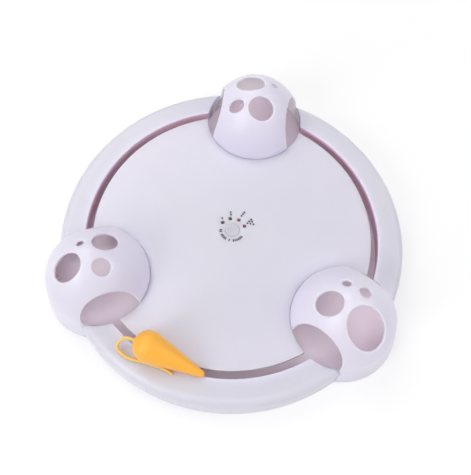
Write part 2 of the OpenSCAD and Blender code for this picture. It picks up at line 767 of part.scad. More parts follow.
function smooth(route, spans) = let (last = len(route) - 1)
    [for (i = [0:last - 1], k = [0:spans - 1]) spline(route[max(0, i - 1)], route[i], route[i + 1],
        route[min(last, i + 2)], k / spans), route[last]];

function unit(v) = v / norm(v);

// Rings of points round a route, with closed ends
function sweep_points(path, r, sides, level) = let (last = len(path) - 1)
    [for (i = [0:last]) let (along = unit(path[min(last, i + 1)] - path[max(0, i - 1)]),
        side = unit(cross(along, level)), up = cross(side, along))
        for (k = [0:sides - 1]) path[i] + r * (cos(360 * k / sides) * side + sin(360 * k / sides) * up)];

function sweep_faces(rings, sides) = concat([[for (k = [0:sides - 1]) k]],
    [for (i = [0:rings - 2], k = [0:sides - 1]) let (n = (k + 1) % sides)
        each [[i * sides + k, (i + 1) * sides + k, (i + 1) * sides + n],
            [i * sides + k, (i + 1) * sides + n, i * sides + n]]],
    [[for (k = [sides - 1:-1:0]) (rings - 1) * sides + k]]);

module mouse_tail() color([0.94, 0.79, 0.53]) {
    path = smooth([for (p = tail_route) p + [tail_root_at.x, tail_root_at.y, deck_h]], tail_spans);
    polyhedron(sweep_points(path, tail_d / 2, tail_sides, [0, 0, 1]), sweep_faces(len(path), tail_sides));
}

// Leads

// A pair of wires side by side along a route of [distance from the column's axis, height]
module lead_pair(turn, route) rotate([0, 0, turn]) for (y = [-lead_spread, lead_spread]) {
    path = [for (p = route) [p.x, y, p.y]];
    polyhedron(sweep_points(path, lead_r, lead_sides, [0, 1, 0]), sweep_faces(len(path), lead_sides));
}

// Route of a pair from its start to the circuit board, up through the column's bore
function lead_route(start_x) = [[start_x, lead_floor_z], [socket_r + 4, lead_floor_z],
    [socket_r + 2, lead_floor_z + 0.5], [socket_r + 0.5, lead_z], [3.6, lead_z], [2.4, lead_z + 0.5],
    [1.8, lead_z + 2.5], [1.8, flange_top]];

module battery_leads() color([0.7, 0.1, 0.1]) lead_pair(270, lead_route(-pocket_y - pocket_in.y / 2));

module motor_leads() color([0.1, 0.1, 0.1]) lead_pair(lead_dir, lead_route(norm(motor_at) - motor_r - 0.1));

base_tray();
battery_door();
door_screw();
cell_1();
cell_2();
cell_3();
spring_contacts();
flat_contacts();
rubber_feet();
base_screws();
rim_front();
rim_left();
rim_right();
dome_back();
dome_left();
dome_right();
centre_deck();
deck_column();
deck_screws();
circuit_board();
control_chip();
tact_switch();
switch_plunger();
power_button();
lamp_1();
lamp_2();
lamp_3();
lamp_4();
motor_can();
motor_pinion();
compound_gear();
gear_axle();
axle_clip();
main_gear();
rotor_bush();
thrust_washer();
mouse_arm();
arm_roller();
roller_pin();
mouse_post();
mouse_body();
mouse_tail();
battery_leads();
motor_leads();
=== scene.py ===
# %% [markdown]
# # A track toy for cats
# The toy is a low white ring with three hollow domes. A yellow mouse on a hidden arm runs round a slot and
# through the domes. The measured solids come from the CAD model and never move. This lesson dresses them:
# each step says what a piece is on the real toy, how it could be made, and why it is made this way here.

# %% Load the measured solids
import json
import math

import bpy
import numpy as np
from mathutils import Matrix, Vector
from mathutils.geometry import delaunay_2d_cdt
from mathutils.kdtree import KDTree


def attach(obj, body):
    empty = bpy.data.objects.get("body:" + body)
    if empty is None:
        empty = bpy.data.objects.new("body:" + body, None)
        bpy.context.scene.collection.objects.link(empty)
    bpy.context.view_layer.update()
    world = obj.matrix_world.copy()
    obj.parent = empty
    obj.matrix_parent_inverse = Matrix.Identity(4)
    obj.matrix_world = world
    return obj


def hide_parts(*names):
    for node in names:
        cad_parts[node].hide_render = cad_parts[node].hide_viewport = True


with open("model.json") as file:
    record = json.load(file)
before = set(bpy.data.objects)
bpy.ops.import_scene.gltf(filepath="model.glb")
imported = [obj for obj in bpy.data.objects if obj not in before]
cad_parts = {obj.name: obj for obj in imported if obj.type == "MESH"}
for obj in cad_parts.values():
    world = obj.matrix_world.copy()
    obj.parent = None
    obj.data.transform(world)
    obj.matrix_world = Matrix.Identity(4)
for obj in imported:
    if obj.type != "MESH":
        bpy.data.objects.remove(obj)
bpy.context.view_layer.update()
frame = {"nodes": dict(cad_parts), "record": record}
mm = 0.001

# %% [markdown]
# ## The camera
# The photograph looks down on the toy from the front. One could turn a camera by eye until it fits, but the
# slot gives two true circles, so its view can be worked out: a place, a right and an up direction, and a
# lens. Those four facts are set here before anything else, because every later choice is seen through them.

# %% Camera
view_right = Vector((0.98446, 0.17503, 0.01392))
view_up = Vector((-0.16508, 0.89563, 0.41302))
camera = bpy.data.objects.new("photo_camera", bpy.data.cameras.new("photo_camera"))
sensor_mm, focal_pixels, picture_pixels = 36, 620, 475
camera.data.lens = sensor_mm * focal_pixels / picture_pixels
camera.matrix_world = Matrix((view_right, view_up, view_right.cross(view_up))).transposed().to_4x4()
camera.location = (0.04193, -0.26111, 0.59977)
bpy.context.scene.collection.objects.link(camera)
bpy.context.scene.camera = camera
print("camera lens in mm:", round(camera.data.lens, 2))

# %% [markdown]
# ## Finishes from nodes
# Moulded plastic is never one flat colour: the colour drifts a little, the gloss is uneven, and a fine grain
# from the mould breaks up the highlights. Images could hold that, but noise nodes give it at any scale and
# from any side. One helper makes all the plain finishes, and each finish then gets its own numbers.

# %% A helper for moulded finishes
def colour(r, g, b):
    """Screen colour from 0 to 255 as the linear values that shaders use."""
    parts = [c / 255 for c in (r, g, b)]
    return tuple(c / 12.92 if c <= 0.04045 else ((c + 0.055) / 1.055) ** 2.4 for c in parts) + (1,)


def moulded(name, tone, drift, gloss, grain_size=0.35, grain_depth=0.01, **sockets):
    """Two near tones drift into each other, gloss is (low, high) roughness, and the grain is in mm."""
    finish = bpy.data.materials.new(name)
    finish.use_nodes = True
    nodes, links = finish.node_tree.nodes, finish.node_tree.links
    shader = nodes["Principled BSDF"]
    place = nodes.new("ShaderNodeTexCoord")
    drift_scale, gloss_scale, grain_strength = 18, 70, 0.5

    def noise(scale, detail):
        cloud = nodes.new("ShaderNodeTexNoise")
        cloud.inputs["Scale"].default_value = scale
        cloud.inputs["Detail"].default_value = detail
        links.new(place.outputs["Object"], cloud.inputs["Vector"])
        return cloud.outputs["Fac"]

    tones = nodes.new("ShaderNodeValToRGB")
    tones.color_ramp.elements[0].position, tones.color_ramp.elements[1].position = 0.35, 0.65
    tones.color_ramp.elements[0].color, tones.color_ramp.elements[1].color = tone, drift
    links.new(noise(drift_scale, 3), tones.inputs["Fac"])
    links.new(tones.outputs["Color"], shader.inputs["Base Color"])
    sheen = nodes.new("ShaderNodeMapRange")
    sheen.inputs["To Min"].default_value, sheen.inputs["To Max"].default_value = gloss
    links.new(noise(gloss_scale, 2), sheen.inputs["Value"])
    links.new(sheen.outputs["Result"], shader.inputs["Roughness"])
    grain = nodes.new("ShaderNodeBump")
    grain.inputs["Strength"].default_value = grain_strength
    grain.inputs["Distance"].default_value = grain_depth * mm
    links.new(noise(1 / (grain_size * mm), 2), grain.inputs["Height"])
    links.new(grain.outputs["Normal"], shader.inputs["Normal"])
    for socket, value in sockets.items():
        shader.inputs[socket.replace("_", " ")].default_value = value
    return finish


print("finish helper ready")

# %% [markdown]
# ## The string tail
# The tail is a soft cord that leaves the rump, sinks in a loop and lies along the rim towards the nose. It
# could be swept by hand as a tube, but a curve with a round bevel is the natural tool for a cord: its points
# are the ones that the measured model follows, and a smooth line is laid through them.

# %% The tail's line
tail_d = 3 * mm
tail_root = Vector((-68.719, -129.327, 30)) * mm
tail_route = [(0, 0, 13.2), (-5.6, 1, 12.6), (-10.3, -0.6, 10.6), (-13.5, -3.3, 8.2), (-14.7, -6.5, 6),
              (-13.4, -9.4, 4.2), (-9.8, -11.9, 2.9), (-5, -14.1, 2.2), (-0.1, -15.2, 1.9), (5.7, -15.8, 1.9),
              (11.6, -16.2, 1.9), (20.1, -17, 1.9), (28.1, -18, 1.9), (35.6, -20.1, 1.9), (40.9, -22.5, 1.9)]


def smooth_line(route, steps):
    """Points on a smooth curve that passes through every point of the route."""
    points = [Vector(p) for p in route]
    ends = [points[0]] + points + [points[-1]]
    line = []
    for p, q, r, s in zip(ends, ends[1:], ends[2:], ends[3:]):
        for t in (k / steps for k in range(steps)):
            line.append((2 * q + (r - p) * t + (2 * p - 5 * q + 4 * r - s) * t ** 2
                         + (3 * q - p - 3 * r + s) * t ** 3) / 2)
    return line + [points[-1]]


tail_line = [tail_root + p * mm for p in smooth_line(tail_route, 8)]

# %% The tail as a curve with a round bevel
tail_curve = bpy.data.curves.new("tail_string", "CURVE")
tail_curve.dimensions = "3D"
tail_curve.bevel_depth = tail_d / 2
tail_curve.bevel_resolution = 6
tail_curve.use_fill_caps = True
tail_spline = tail_curve.splines.new("POLY")
tail_spline.points.add(len(tail_line) - 1)
for spot, p in zip(tail_spline.points, tail_line):
    spot.co = (*p, 1)
tail = bpy.data.objects.new("tail_string", tail_curve)
bpy.context.scene.collection.objects.link(tail)
tail_curve.materials.append(moulded("tail_cord", colour(246, 202, 112), colour(236, 186, 92), (0.55, 0.75),
                                    grain_size=0.5, grain_depth=0.12, Sheen_Weight=0.25))
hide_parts("mouse_tail")
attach(tail, "rotor")
print("tail curve points:", len(tail_spline.points))

# %% [markdown]
# ## Turning loose shapes into pieces
# Every new piece is one mesh that moves with a body of the model and stands for the solid under it. The same
# few lines would be written for each, so they are written once. Sizes stay in millimetres until this point,
# and edges sharper than a set angle stay crisp while the rest is shaded smooth.

# %% A helper that makes a piece
crisp_angle = math.radians(40)


def make_piece(name, solids, finishes, body, nodes=()):
    """solids are (points in mm, faces, number of the finish); nodes are the solids that it stands for."""
    points, faces, finish_of, starts = [], [], [], {}
    for solid_points, solid_faces, finish in solids:
        if id(solid_points) not in starts:
            starts[id(solid_points)] = len(points)
            points += [Vector(p) * mm for p in solid_points]
        start = starts[id(solid_points)]
        faces += [[start + i for i in face] for face in solid_faces]
        finish_of += [finish] * len(solid_faces)
    used = {old: new for new, old in enumerate(sorted({i for face in faces for i in face}))}
    mesh = bpy.data.meshes.new(name)
    mesh.from_pydata([points[i] for i in used], [], [[used[i] for i in face] for face in faces])
    for finish in finishes:
        mesh.materials.append(finish)
    mesh.polygons.foreach_set("material_index", finish_of)
    mesh.validate()
    mesh.shade_smooth()
    mesh.set_sharp_from_angle(angle=crisp_angle)
    piece = bpy.data.objects.new(name, mesh)
    bpy.context.scene.collection.objects.link(piece)
    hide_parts(*nodes)
    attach(piece, body)
    print(name, "has", len(mesh.polygons), "faces")


def round_from(centre, r, a):
    """The flat place at a distance from a centre, in a direction in radians."""
    return centre[0] + r * math.cos(a), centre[1] + r * math.sin(a)


def turned(profile, steps, at=(0, 0)):
    """A closed outline of (radius, height), upward on its outside, turned round an upright axis."""
    on_axis = 1e-6
    points, faces, rows = [], [], []
    for r, z in profile:
        rows.append(len(points))
        turns = steps if r > on_axis else 1
        points += [(*round_from(at, r, 2 * math.pi * k / steps), z) for k in range(turns)]
    full = [r > on_axis for r, z in profile]
    for i in range(len(profile)):
        j = (i + 1) % len(profile)
        for k in range(steps):
            n = (k + 1) % steps
            face = [rows[i] + k, rows[i] + n] if full[i] else [rows[i]]
            face += [rows[j] + n, rows[j] + k] if full[j] else [rows[j]]
            if len(face) > 2:
                faces.append(face)
    return points, faces


print("piece helpers ready")

# %% [markdown]
# ## A thin wall with holes in it
# The domes and the deck are thin walls, cut by arches and paw holes, with softly rounded edges. Boolean cuts
# would do it, but they leave ragged rows of tiny faces that spoil a rounded edge. Here the cut edges are
# drawn first on the wall's own face, with a few rows of points beside them that sink like a rounded edge.
# The rest is filled with even points, and a triangulation joins them all. Triangles that lie inside a hole
# are dropped, and a second layer closes the inside.

# %% A helper for thin walls
def rounded_rows(edge_r):
    """Distances from a cut edge, with how far the face has sunk there."""
    turns = [math.radians(a) for a in (0, 18, 36, 60, 90)]
    return [(edge_r * (1 - math.cos(a)), edge_r * (1 - math.sin(a))) for a in turns]


def inside_loops(spots, loops):
    """Which of the flat spots lie inside an odd number of closed loops."""
    x, y = np.array(spots).T
    odd = np.zeros(len(x), bool)
    for loop in loops:
        for (ax, ay), (bx, by) in zip(loop, loop[1:] + loop[:1]):
            if ay != by:
                odd ^= ((ay > y) != (by > y)) & (x < ax + (y - ay) * (bx - ax) / (by - ay))
    return odd


def thin_wall(edges, filler, place, unplace, flat, kept, wall, edge_r, inner_edge_r, spacing):
    """Points and faces of a wall. Each edge is a closed list of places with the wall on its left."""
    clear_of_edge, merge_within = 0.6 * spacing, 1e-6
    spots, sink, near, borders, constraints = [], [], [], [], []
    for edge in edges:
        on_face = [place(spot) for spot in edge]
        n = len(edge)
        for row, (distance, drop) in enumerate(rounded_rows(edge_r)):
            first = len(spots)
            for i, (p, normal) in enumerate(on_face):
                along = (on_face[(i + 1) % n][0] - on_face[i - 1][0]).normalized()
                inward = normal.cross(along).normalized()
                spots.append(edge[i] if row == 0 else unplace(p + inward * distance))
                sink.append(drop)
                near.append(p + inward * distance)
            if row == 0:
                borders.append(list(range(first, first + n)))
                constraints += [(first + i, first + (i + 1) % n) for i in range(n)]
    tree = KDTree(len(near))
    for i, p in enumerate(near):
        tree.insert(p, i)
    tree.balance()
    for spot in filler:
        p = place(spot)[0]
        if kept(p) and tree.find(p)[2] > clear_of_edge:
            spots.append(spot)
            sink.append(0)
    flat_spots = [Vector(flat(spot)) for spot in spots]
    _, _, found, origins, _, _ = delaunay_2d_cdt(flat_spots, constraints, [], 0, merge_within)
    source = [origin[0] if origin else -1 for origin in origins]
    outer, inner = [], []
    for spot, drop in zip(spots, sink):
        p, normal = place(spot)
        rise = min(1, inner_edge_r / edge_r) * drop
        outer.append(p - normal * drop)
        inner.append(p - normal * (wall - rise))
    count = len(spots)
    triangles = [[source[i] for i in face] for face in found]
    triangles = [corners for corners in triangles if min(corners) >= 0 and len(set(corners)) == 3]
    middles = [sum((flat_spots[i] for i in corners), Vector((0, 0))) / 3 for corners in triangles]
    in_wall = inside_loops(middles, [[flat_spots[i] for i in border] for border in borders])
    outside = [corners for corners, keep in zip(triangles, in_wall) if keep]
    inside = [[count + i for i in reversed(corners)] for corners in outside]
    sides = [[b[i], count + b[i], count + b[(i + 1) % len(b)], b[(i + 1) % len(b)]]
             for b in borders for i in range(len(b))]
    return outer + inner, outside, inside, sides


print("thin wall helper ready")

# %% [markdown]
# ## Measures of the housing
# All white pieces share a handful of sizes: the deck's height, the slot, the wall and the place of the domes.
# They are the CAD model's own numbers, in millimetres, so the dressed pieces land on the solids. Only the
# rounding of the cut edges is added here.

# %% Sizes in millimetres
deck_z, foot_z, tray_z, wall, cut_edge_r = 30, 1.5, 3.5, 2.4, 0.45
slot_r, slot_w, lip_z, rim_r, seam = 148, 7.4, 24.5, 175, 0.3
dome_from_centre, dome_r, dome_rise, dome_fullness, dome_flare = 139.3, 50.8, 56, 1.61, 4.8
arch_half, arch_rise, arch_shift = 29, 34.7, 1.4
dome_turns = {"dome_back": 90, "dome_left": 210, "dome_right": 330}


def skirt_r(z):
    """Radius of a dome's skirt below the deck."""
    return dome_r + dome_flare * (deck_z - z) / (deck_z - foot_z)


print("deck radius in mm:", slot_r - slot_w)

# %% [markdown]
# ## The white shells' finish
# The shells are glossy white plastic with a cool, faintly lilac cast. Inside the domes the light bounces
# about and comes back warmer, and the thin wall glows a little, so the inner faces are painted a lighter,
# rosier tone that stands in for this bounced light. The slot's walls carry a painted rosy tone in two copies:
# a deep one that paints shade, and a pale one that paints the lighter groove at the front and on the deck's
# lips.

# %% Shell finishes
lets_light_through = {"Subsurface_Weight": 1, "Subsurface_Scale": 0.008, "Subsurface_Radius": (1, 0.92, 0.98)}
shell_white = moulded("shell_white", colour(224, 220, 245), colour(222, 218, 243), (0.28, 0.36),
                      grain_size=0.6, grain_depth=0.004, Specular_IOR_Level=0.4, **lets_light_through)
# Inner faces: the same white plastic, painted lighter and rosier to stand in for light that bounces inside
# and comes through the wall.
inner_painted_light = moulded("inner_painted_light", colour(254, 244, 251), colour(253, 242, 250), (0.38, 0.48),
                       grain_size=0.6, grain_depth=0.006, Specular_IOR_Level=0.3, **lets_light_through)
# A darker, rosy copy of the white that paints the shade deep in the slot; the screw posts inside the domes
# take it too.
rosy_painted_shade = moulded("rosy_painted_shade", colour(242, 207, 225), colour(238, 201, 220), (0.4, 0.5), grain_size=0.6,
                     grain_depth=0.006, Specular_IOR_Level=0.3)
# A paler rosy copy that paints the lighter groove at the front rim and on the deck's lips.
pale_painted_light = moulded("pale_painted_light", colour(254, 234, 246), colour(252, 231, 244), (0.4, 0.5), grain_size=0.6,
                    grain_depth=0.006, Specular_IOR_Level=0.3, **lets_light_through)
print("shell finishes ready")

# %% [markdown]
# ## The domes
# A dome is a turned wall, a little fuller than a cone and sharper than a half ball, on a skirt that reaches
# the floor outside the ring. Two arches let the mouse through, and paw holes of four sizes pierce the top. A
# place on the dome is its distance from the top along the wall and its direction, which unrolls the dome
# into a flat disc where the cuts can be triangulated.

# %% The dome's outline
outline_steps = 400
turn = np.linspace(math.pi / 2, 0, outline_steps)
outline_r = np.append(dome_r * np.cos(turn) ** (2 / dome_fullness), skirt_r(foot_z))
outline_z = np.append(deck_z + dome_rise * np.sin(turn) ** (2 / dome_fullness), foot_z)
outline_r[0] = 0
outline_s = np.append(0, np.cumsum(np.hypot(np.diff(outline_r), np.diff(outline_z))))
slope_s = (outline_s[1:] + outline_s[:-1]) / 2
slope_r = -np.diff(outline_z) / np.diff(outline_s)
slope_z = np.diff(outline_r) / np.diff(outline_s)
slope_r[0], slope_z[0] = 0, 1


def on_dome(spot):
    """Point and outward direction at a distance along the wall and a direction round the axis."""
    s, a = spot
    r, z = np.interp(s, outline_s, outline_r), np.interp(s, outline_s, outline_z)
    nr, nz = np.interp(s, slope_s, slope_r), np.interp(s, slope_s, slope_z)
    return (Vector((r * math.cos(a), r * math.sin(a), z)),
            Vector((nr * math.cos(a), nr * math.sin(a), nz)).normalized())


def off_dome(p):
    """The distance along the wall and the direction that lie nearest to a point."""
    r, direction = math.hypot(p.x, p.y), math.atan2(p.y, p.x)
    if p.z < deck_z:
        skirt_s = outline_s[-1] - outline_s[-2]
        return outline_s[-2] + (deck_z - p.z) * skirt_s / (deck_z - foot_z), direction
    step = int(np.argmin((outline_r[:-1] - r) ** 2 + (outline_z[:-1] - p.z) ** 2))
    best = None
    for i in (max(0, step - 1), min(step, len(outline_r) - 3)):
        ar, az = outline_r[i], outline_z[i]
        dr, dz = outline_r[i + 1] - ar, outline_z[i + 1] - az
        t = min(1, max(0, ((r - ar) * dr + (p.z - az) * dz) / (dr * dr + dz * dz)))
        gap = math.hypot(ar + t * dr - r, az + t * dz - p.z)
        if best is None or gap < best[0]:
            best = gap, outline_s[i] + t * (outline_s[i + 1] - outline_s[i])
    return best[1], direction


def unrolled(spot):
    """Where a place lies when the dome is unrolled into a flat disc."""
    s, a = spot
    return s * math.cos(a), s * math.sin(a)


def dome_r_at(z):
    """Radius of the dome's outer face at a height."""
    if z <= deck_z:
        return skirt_r(z)
    return dome_r * max(0, 1 - ((z - deck_z) / dome_rise) ** dome_fullness) ** (1 / dome_fullness)


print("length of the dome's wall from top to floor in mm:", round(outline_s[-1], 1))

# %% [markdown]
# The dome's lower edge is a long loop: along the floor outside the ring, up beside the rim, over one arch,
# along the deck, and back over the other arch. Each paw hole is an oval cutter that stands square on the
# wall, so its edge is found by sliding an oval's points along the cutter until they touch the wall. Two slim
# posts stand inside the skirt for the screws that come up through the tray.

# %% The dome's edges
keep_turn = math.radians(75.5)
floor_turn = math.radians(61.7)
arch_low = deck_z - 3.4
deck_low = deck_z - wall
over_tray = tray_z + 0.1
turn_step, side_step, deck_step, arch_steps = 0.022, 1.2, 0.8, 84


def steps_between(a, b, size):
    """Even steps of about a size from a towards b, without b itself."""
    n = max(1, round(abs(b - a) / size))
    return [a + (b - a) * k / n for k in range(n)]


def on_arch(t):
    """A point of the arch's edge on the dome's outer face."""
    x, z = arch_half * math.cos(t) - arch_shift, deck_z + arch_rise * math.sin(t)
    return Vector((x, math.sqrt(max(0, dome_r_at(z) ** 2 - x * x)), z))


def level_turn(x, z):
    """Direction of the dome's face at a distance sideways and a height."""
    return math.acos(x / dome_r_at(z))


def lower_edge():
    """The loop on the side that the dome's direction turns to, then the same mirrored."""
    front_x, back_x = arch_half - arch_shift, -arch_half - arch_shift
    half = [(a, foot_z) for a in steps_between(0, floor_turn, turn_step)]
    half += [(floor_turn, z) for z in (foot_z, (foot_z + tray_z) / 2)]
    half += [(a, over_tray) for a in steps_between(floor_turn, keep_turn, turn_step)]
    half += [(keep_turn, z) for z in steps_between(over_tray, arch_low, side_step)]
    half += [(a, arch_low) for a in steps_between(keep_turn, level_turn(front_x, arch_low), turn_step)]
    half += [(level_turn(front_x, z), z) for z in steps_between(arch_low, deck_z, side_step)]
    arch = [on_arch(math.pi * k / arch_steps) for k in range(arch_steps)]
    half += [(math.atan2(p.y, p.x), p.z) for p in arch]
    half += [(level_turn(back_x, z), z) for z in steps_between(deck_z, deck_low, deck_step)]
    half += [(a, deck_low) for a in steps_between(level_turn(back_x, deck_low), math.pi, turn_step)]
    both = half + [(math.pi, deck_low)] + [(-a, z) for a, z in reversed(half[1:])]
    return [off_dome(Vector((*round_from((0, 0), dome_r_at(z), a), z))) for a, z in both]


def hole_frame(direction, distance, twist):
    """Centre and axis of a paw hole, with the directions of its length and its width."""
    z = deck_z + dome_rise * (1 - (distance / dome_r) ** dome_fullness) ** (1 / dome_fullness)
    a, twist = math.radians(direction), math.radians(twist)
    centre, axis = on_dome(off_dome(Vector((*round_from((0, 0), distance, a), z))))
    sideways = Vector((-math.sin(a), math.cos(a), 0))
    along = sideways.cross(axis) * math.cos(twist) + sideways * math.sin(twist)
    return centre, axis, along, axis.cross(along)


hole_step, hole_depth, hole_height, halvings = 2.5, 34.0, 16.0, 40


def hole_edge(direction, distance, width, length, twist):
    """The oval's points, each slid along the hole's axis until it touches the wall."""
    centre, axis, along, across = hole_frame(direction, distance, twist)
    count = max(24, round(math.pi * (width + length) / hole_step))
    edge = []
    for k in range(count):
        t = -2 * math.pi * k / count
        start = centre + along * math.cos(t) * length / 2 + across * math.sin(t) * width / 2
        low, high = -hole_depth, hole_height
        for _ in range(halvings):
            middle = (low + high) / 2
            p = start + axis * middle
            if math.hypot(p.x, p.y) > dome_r_at(p.z) or p.z > deck_z + dome_rise:
                high = middle
            else:
                low = middle
        edge.append(off_dome(start + axis * low))
    return edge


print("places round a dome's lower edge:", len(lower_edge()))

# %% Paw holes, filling places and screw posts
# A hole is its direction in degrees, distance from the dome's axis, width, length and twist in degrees.
paw_holes = {
    "dome_back": [(38, 14.1, 27.4, 34, 20), (-155, 20.6, 24.4, 27.4, 51), (134, 25.5, 13.3, 19.1, -27),
                  (-52, 22.4, 7, 8.4, 0)],
    "dome_left": [(5, 23.4, 25.8, 36.6, -8), (-149, 22.3, 22.5, 29.2, 0), (121, 17.5, 17, 18.5, 28),
                  (-75, 15.1, 7.7, 9, 14)],
    "dome_right": [(-20, 28.1, 35.8, 49.7, 9), (-139, 21.5, 24.2, 29.7, -12), (74, 14.8, 11.8, 14.1, -4),
                   (143, 18.3, 8.6, 10.4, 7)]}


def dome_filler(spacing):
    """Even places all over the dome, row by row from the top."""
    spots = [(0.0, 0.0)]
    rows = int(outline_s[-1] / spacing)
    for k in range(1, rows + 1):
        s = k * outline_s[-1] / (rows + 1)
        count = max(6, round(2 * math.pi * np.interp(s, outline_s, outline_r) / spacing))
        spots += [(s, 2 * math.pi * (i + 0.5 * (k % 2)) / count - math.pi) for i in range(count)]
    return spots


dome_spacing = 2.2
post_from_axis, post_turn = dome_r - 3, math.radians(30)
screw_post = [(1.25, 6.5), (2.2, 6.5), (2.2, 18.9), (2.1, 19.2), (1.8, 19.4), (0, 19.4), (0, 18), (1.25, 18)]
print("filling places on a dome:", len(dome_filler(dome_spacing)))

# %% The three domes
deck_side_x, wall_depth = -20, 30


def make_dome(name):
    """The dome's wall with all its cuts, and the two posts inside it."""
    holes = [(hole_frame(direction, distance, twist), width / 2, length / 2)
             for direction, distance, width, length, twist in paw_holes[name]]

    def in_hole(p, hole):
        (centre, axis, along, across), half_width, half_length = hole
        out = p - centre
        return (out.dot(axis) > -wall_depth
                and (out.dot(along) / half_length) ** 2 + (out.dot(across) / half_width) ** 2 < 1)

    def kept(p):
        x, turned_by, by_deck = p.x + arch_shift, abs(math.atan2(p.y, p.x)), p.x < deck_side_x
        if p.z > deck_z and (x / arch_half) ** 2 + ((p.z - deck_z) / arch_rise) ** 2 < 1:
            return False
        if arch_low < p.z <= deck_z and abs(x) < arch_half:
            return False
        if p.z <= arch_low and turned_by > keep_turn and not (by_deck and p.z > deck_low):
            return False
        if p.z < over_tray and turned_by > floor_turn:
            return False
        if by_deck and p.z < deck_low:
            return False
        return not any(in_hole(p, hole) for hole in holes)

    edges = [lower_edge()] + [hole_edge(*hole) for hole in paw_holes[name]]
    points, outside, inside, sides = thin_wall(edges, dome_filler(dome_spacing), on_dome, off_dome, unrolled,
                                               kept, wall, cut_edge_r, cut_edge_r, dome_spacing)
    turn_to = Matrix.Rotation(math.radians(dome_turns[name]), 3, "Z")
    placed = [turn_to @ (p + Vector((dome_from_centre, 0, 0))) for p in points]
    # Inner faces take the painted light, and the screw posts take the rosy painted shade.
    solids = [(placed, outside + sides, 0), (placed, inside, 1)]
    for a in (-post_turn, post_turn):
        post_points, post_faces = turned(screw_post, 32, round_from((dome_from_centre, 0), post_from_axis, a))
        solids.append(([turn_to @ Vector(p) for p in post_points], post_faces, 2))
    return solids


for dome_name in dome_turns:
    make_piece(dome_name + "_shell", make_dome(dome_name), [shell_white, inner_painted_light, rosy_painted_shade],
               "base", [dome_name])

# %% [markdown]
# ## The rim
# Between the domes the toy has three lengths of rim, each with a rounded shoulder outside, a flat top and a
# lip over the slot. One could turn the whole ring and cut it with the domes. Here each line of the profile
# runs round until it meets the dome's skirt, which the triangle of the two centres gives exactly, so the ends
# follow the domes to a hair and keep a thin even seam. The slot's wall carries a painted tone: pale painted
# light at the front, as in the photograph, and rosy painted shade elsewhere.

# %% The rim's profile
def bend(x, z, r, start, end, steps):
    """Points on part of a circle in a profile."""
    turns = [math.radians(start + (end - start) * k / steps) for k in range(steps + 1)]
    return [(x + r * math.cos(a), z + r * math.sin(a)) for a in turns]


shoulder_r, lip_r, lip_under_r = 9, 0.7, 0.4
shoulder_x, shoulder_z = rim_r - 9.8, deck_z - shoulder_r
rest_z = tray_z + 0.02
rim_face = [(rim_r - wall, rest_z), (rim_r - wall, 1.75), (rim_r - wall + 0.25, foot_z),
            (rim_r - 0.45, foot_z), (rim_r - 0.03, 1.95), (rim_r - 0.4, 11.5)]
rim_face += bend(shoulder_x, shoulder_z, shoulder_r, 0, 90, 16)
rim_face += [(r, deck_z) for r in (162, 158.5, 155, 151.5)]
rim_face += bend(slot_r + lip_r, deck_z - lip_r, lip_r, 90, 180, 5)
slot_row = len(rim_face) - 1
rim_face += bend(slot_r + lip_under_r, lip_z + lip_under_r, lip_under_r, 180, 270, 3)
rim_face += [(slot_r + wall, lip_z), (slot_r + wall, 14), (slot_r + wall, rest_z)]
rim_hollow = [(rim_r - wall - 0.1, rest_z)] + bend(shoulder_x, shoulder_z, shoulder_r - wall, 0, 90, 8)
rim_hollow += [(slot_r + 2 * wall, deck_z - wall), (slot_r + 2 * wall, rest_z)]
print("points in the rim's profile:", len(rim_face))

# %% The three lengths of rim
rim_edge_r, rim_steps = 0.5, 64


def meets_dome(r, z, gap):
    """Angle from a dome's axis, seen from the toy's centre, at which a circle meets the dome."""
    reach = skirt_r(z) + gap
    return math.acos((r * r + dome_from_centre ** 2 - reach ** 2) / (2 * dome_from_centre * r))


def rim_columns(profile, middle, gap, rounded):
    """Rows of points along the rim. A rounded one has its edges sunk at both ends."""
    lines = []
    ends = rounded_rows(rim_edge_r)
    for i, (r, z) in enumerate(profile):
        before, after = profile[max(0, i - 1)], profile[min(len(profile) - 1, i + 1)]
        out = Vector((after[1] - before[1], before[0] - after[0])).normalized() * (-1 if rounded else 0)
        first = meets_dome(r, z, gap) - math.pi / 3
        span = -2 * first
        stops = [(first + d / r, drop) for d, drop in ends]
        stops += [(first + span * k / rim_steps, 0) for k in range(1, rim_steps)]
        stops += [(-first - d / r, drop) for d, drop in reversed(ends)]
        line = []
        for a, drop in stops:
            line.append((*round_from((0, 0), r + out.x * drop, middle + a), z + out.y * drop))
        lines.append(line)
    return lines


